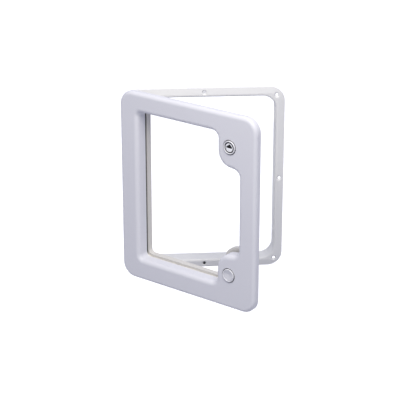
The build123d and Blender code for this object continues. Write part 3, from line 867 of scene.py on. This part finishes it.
shade_patch_outline = [
    (-6.0, -0.7), (-3.0, -1.0), (1.0, -1.1), (5.5, -1.1), (5.9, 0.2), (5.6, 1.9), (4.2, 3.2),
    (2.6, 4.9), (0.8, 6.0), (-0.9, 5.9), (-2.0, 4.2), (-3.0, 2.7), (-5.8, 2.1),
]
shade_patch_centre = (0.0, 1.2)
shade_patch_back = 0.61
shade_patch_front = 0.80
shade_patch_rings = [
    [(*shade_patch_centre, shade_patch_back)] * len(shade_patch_outline),
    [(x, y, shade_patch_back) for x, y in shade_patch_outline],
    [(x, y, shade_patch_front) for x, y in shade_patch_outline],
    [(*shade_patch_centre, shade_patch_front)] * len(shade_patch_outline),
]
# black patch on the plug: painted shadow and dark reflection round and above the keyway
keyway_shade = make_piece("keyway_guard", shade_patch_rings, shade_patch_black, space=lock_spot)
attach(keyway_shade, "key_plug")
print("lock details:", gap_shade_ring.name, keyway_shade.name)

# %% [markdown]
# ## Plug in the lowest screw hole
#
# Seven of the flange's eight screw holes are open, and the white behind shows through. The one in
# the middle of the lower side is black in the photograph, so a rubber plug closes it. It is a small
# turned disc with a rounded edge, made like the bezels.

# %% Hole plug
plug_profile = [(0.0, 0.5), (1.6, 0.5), (2.4, 0.35), (2.7, 0.1), (2.7, -0.5), (0.0, -0.5)]
plug_place = (0.0, -1.6 * MM, -174.0 * MM)
plug_spot = Matrix.Translation(plug_place) @ Matrix.Rotation(pi / 2.0, 4, "X")
hole_plug = make_piece("hole_plug", turned(plug_profile, 32), gasket_black, space=plug_spot)
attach(hole_plug, "frame")
print("plug faces:", len(hole_plug.data.polygons))

# %% [markdown]
# ## Give each CAD node its finish
#
# A CAD node whose shape is right stays as it is and only gets a better material. A table of nodes
# and finishes is easier to check than an assignment after each piece.

# %% Assign finishes
finishes = {
    "mounting_frame": frame_white,
    "door_front_frame": door_white,
    "door_rear_frame": rear_white,
    "hinge_pin_upper": drawn_steel,
    "hinge_pin_lower": drawn_steel,
    "lock_barrel": barrel_chrome,
    "key_plug": plug_chrome,
    "lock_cam": drawn_steel,
    "barrel_clip": drawn_steel,
    "button_clip": drawn_steel,
    "push_button": button_white,
    "upper_latch_bolt": bolt_natural,
    "lower_latch_bolt": bolt_natural,
    "upper_latch_case": latch_black,
    "lower_latch_case": latch_black,
    "upper_latch_cover": latch_black,
    "lower_latch_cover": latch_black,
}
for node, material in finishes.items():
    cad_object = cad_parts[node]
    cad_object.data.materials.clear()
    cad_object.data.materials.append(material)
print("finished nodes:", len(finishes), "of", len(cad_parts))

# %% [markdown]
# ## Studio
#
# The photograph has no background at all, so the floor reads as plain white to the camera and to
# reflections, while other rays see a pale grey floor. A stronger lamp would whiten it as well, but
# it would burn out the door. The floor lies far below, because no shadow of it is seen.

# %% Floor
floor_drop = 0.9
floor_height = cad_box[0][2] - floor_drop
floor_size = 12.0
floor_glow = 0.86
floor_mesh = bpy.data.meshes.new("floor")
floor_mesh.from_pydata(
    [
        (-floor_size, -floor_size, floor_height), (floor_size, -floor_size, floor_height),
        (floor_size, floor_size, floor_height), (-floor_size, floor_size, floor_height),
    ],
    [], [(0, 1, 2, 3)],
)
floor = bpy.data.objects.new("floor", floor_mesh)
bpy.context.scene.collection.objects.link(floor)

floor_finish = Finish("floor_white")
path = floor_finish.add("ShaderNodeLightPath")
seen = Signal(floor_finish, path.outputs["Is Camera Ray"])
mirrored = Signal(floor_finish, path.outputs["Is Glossy Ray"])
plain = (seen + mirrored).clamped()
floor_colour = floor_finish.blend(plain, (0.62, 0.62, 0.65), (0.9, 0.9, 0.9))
floor_finish.set(Base_Color=floor_colour, Roughness=0.9)
glow = floor_finish.add(
    "ShaderNodeEmission", inputs={"Color": (1.0, 1.0, 1.0, 1.0), "Strength": floor_glow}
)
lit = floor_finish.add(
    "ShaderNodeAddShader", inputs={0: floor_finish.shader.outputs[0], 1: glow.outputs[0]}
)
mixer = floor_finish.add(
    "ShaderNodeMixShader", inputs={0: plain, 1: floor_finish.shader.outputs[0], 2: lit.outputs[0]}
)
floor_finish.feed(floor_finish.output.inputs["Surface"], mixer.outputs[0])
floor.data.materials.append(floor_finish.material)
print("floor at %.3f m" % floor_height)

# %% [markdown]
# ## Light from all round
#
# The shadows in the photograph are soft and slightly blue, as in a tent of white cloth. A picture
# of a studio could light the scene, but one formula is enough: the world is a little brighter
# above, behind and to the right. The camera itself sees plain white there.

# %% World
level_light = 0.31
light_from_above = 0.15
light_from_behind = 0.22
light_from_right = 0.03
sky_colour = (0.885, 0.92, 1.13, 1.0)

world = bpy.data.worlds.new("studio")
bpy.context.scene.world = world
world.use_nodes = True
world.node_tree.nodes.clear()
sky = Graph(world.node_tree)
direction = sky.add("ShaderNodeTexCoord").outputs["Generated"]
sides = sky.add("ShaderNodeSeparateXYZ", inputs={0: direction}).outputs
rise = Signal(sky, sides["Z"])
rightward = Signal(sky, sides["X"])
backward = Signal(sky, sides["Y"]).clamped()
strength = level_light + rise * light_from_above
strength = strength + backward * light_from_behind + rightward * light_from_right
soft_light = sky.add(
    "ShaderNodeBackground", inputs={"Color": sky_colour, "Strength": strength.clamped()}
)
white_wall = sky.add(
    "ShaderNodeBackground", inputs={"Color": (1.0, 1.0, 1.0, 1.0), "Strength": 1.0}
)
sky_path = sky.add("ShaderNodeLightPath")
sky_mixer = sky.add(
    "ShaderNodeMixShader",
    inputs={
        0: sky_path.outputs["Is Camera Ray"], 1: soft_light.outputs[0], 2: white_wall.outputs[0],
    },
)
sky.add("ShaderNodeOutputWorld", inputs={"Surface": sky_mixer.outputs[0]})
print("world nodes:", len(world.node_tree.nodes))

# %% [markdown]
# ## One lamp
#
# The tops of the mouldings are the brightest parts of the photograph, with broad soft edges between
# light and shade. That is one large lamp high up in front of the door, slightly warm against the
# bluish light round it. A sun lamp would make the edges hard.

# %% Lamp
lamp_distance = 1.8
lamp_direction = direction_to(radians(-4.0), radians(56.0))
lamp_data = bpy.data.lights.new("top_box", "AREA")
lamp_data.shape = "SQUARE"
lamp_data.size = 1.1
lamp_data.energy = 28.5
lamp_data.color = (1.0, 0.97, 0.91)
lamp = bpy.data.objects.new("top_box", lamp_data)
bpy.context.scene.collection.objects.link(lamp)
lamp.location = look_at + lamp_distance * lamp_direction
lamp.rotation_euler = lamp_direction.to_track_quat("Z", "Y").to_euler()
print(lamp.name, "%.1f W" % lamp_data.energy)

# %% [markdown]
# ## Last step
#
# The view transform is Standard, so that a colour renders about as it is written.

# %% Finish
bpy.context.scene.view_settings.view_transform = "Standard"
print("CAD box:", cad_box)
